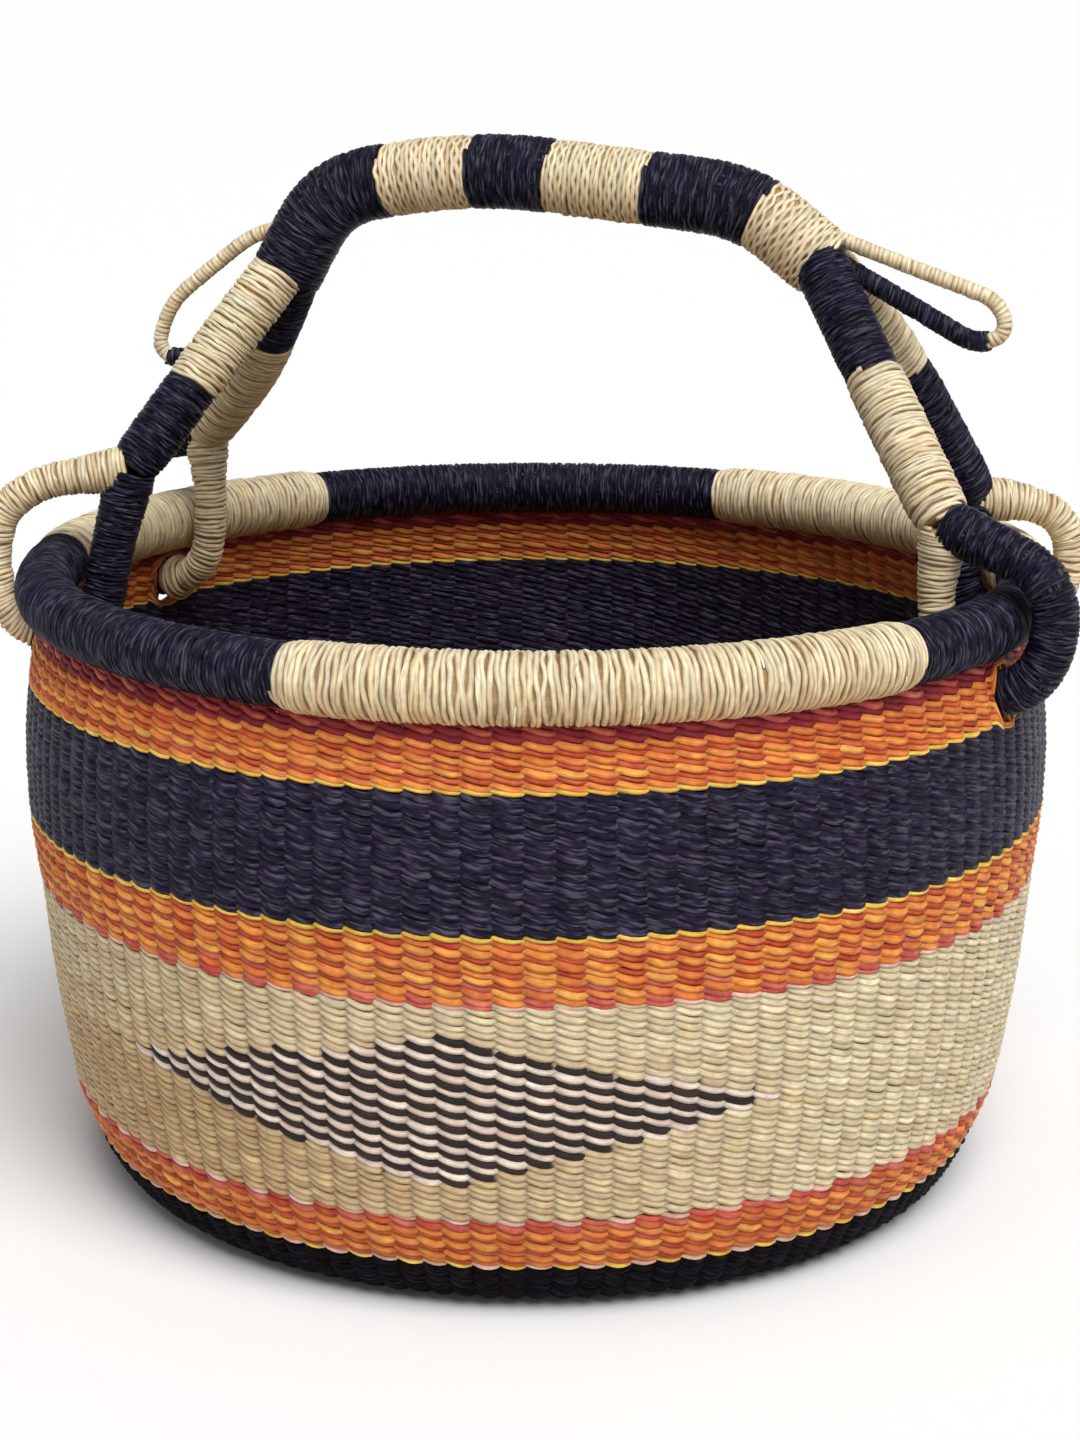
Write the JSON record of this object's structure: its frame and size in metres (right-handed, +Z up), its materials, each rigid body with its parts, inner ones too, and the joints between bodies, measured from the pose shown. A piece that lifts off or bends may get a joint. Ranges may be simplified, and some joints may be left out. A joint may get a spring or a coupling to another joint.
{
  "type": "woven market basket",
  "caption": "Round basket twined from dyed grass in colour bands with a diamond motif, thick wrapped rim, and an arched wrapped handle on forked legs that loop round the rim.",
  "frame": {"origin": "middle of the flat underside of the base", "axes": "+Z up, +X along the handle's arch towards its gently sloping end, -Y towards the front of the basket"},
  "size_m": [0.4395, 0.4166, 0.4128],
  "materials": {
    "pink_weft": "dyed grass, dull",
    "orange_weft": "dyed grass, dull",
    "navy_weft": "dyed grass, soft sheen",
    "natural_weft": "undyed grass, dull",
    "natural_wrap": "undyed grass, soft sheen",
    "navy_wrap": "dyed grass, soft sheen",
    "grass_core": "undyed grass, dull"
  },
  "bodies": {
    "basket": {"base_disc": "navy_weft", "base_navy_band": "navy_weft", "border_row": "pink_weft", "lower_orange_band": "orange_weft", "middle_orange_band": "orange_weft", "natural_band": "natural_weft", "navy_band": "navy_weft", "rim_core": "grass_core", "rim_natural_front": "natural_wrap", "rim_natural_left": "natural_wrap", "rim_natural_right": "natural_wrap", "rim_navy_back": "navy_wrap", "rim_navy_left": "navy_wrap", "rim_navy_right": "navy_wrap", "upper_orange_band": "orange_weft", "wall_stakes": "grass_core"},
    "handle": {"back_left_inner_prong_natural": "natural_wrap", "back_left_leg_core": "grass_core", "back_left_leg_wrap_natural": "natural_wrap", "back_left_leg_wrap_navy": "navy_wrap", "back_left_loop_core": "grass_core", "back_left_outer_prong_navy": "navy_wrap", "back_right_inner_prong_navy": "navy_wrap", "back_right_leg_core": "grass_core", "back_right_leg_wrap_natural": "natural_wrap", "back_right_leg_wrap_navy": "navy_wrap", "back_right_loop_core": "grass_core", "back_right_outer_prong_natural": "natural_wrap", "front_left_inner_prong_navy": "navy_wrap", "front_left_leg_core": "grass_core", "front_left_leg_wrap_natural": "natural_wrap", "front_left_leg_wrap_navy": "navy_wrap", "front_left_loop_core": "grass_core", "front_left_outer_prong_natural": "natural_wrap", "front_right_inner_prong_natural": "natural_wrap", "front_right_leg_core": "grass_core", "front_right_leg_wrap_natural": "natural_wrap", "front_right_leg_wrap_navy": "navy_wrap", "front_right_loop_core": "grass_core", "front_right_outer_prong_navy": "navy_wrap", "grip_core": "grass_core", "grip_wrap_natural_left": "natural_wrap", "grip_wrap_natural_middle": "natural_wrap", "grip_wrap_natural_right": "natural_wrap", "grip_wrap_navy_left": "navy_wrap", "grip_wrap_navy_middle": "navy_wrap", "grip_wrap_navy_right": "navy_wrap", "left_ear_core": "grass_core", "left_ear_wrap_natural": "natural_wrap", "left_ear_wrap_navy": "navy_wrap", "right_ear_core": "grass_core", "right_ear_wrap_natural": "natural_wrap", "right_ear_wrap_navy": "navy_wrap"}
  },
  "joints": [
    {"name": "handle_lean", "type": "hinge", "parent": "basket", "child": "handle", "pos_m": [0, 0.008, 0.24], "axis": [1, 0, 0], "range_deg": [-3, 3]}
  ]
}
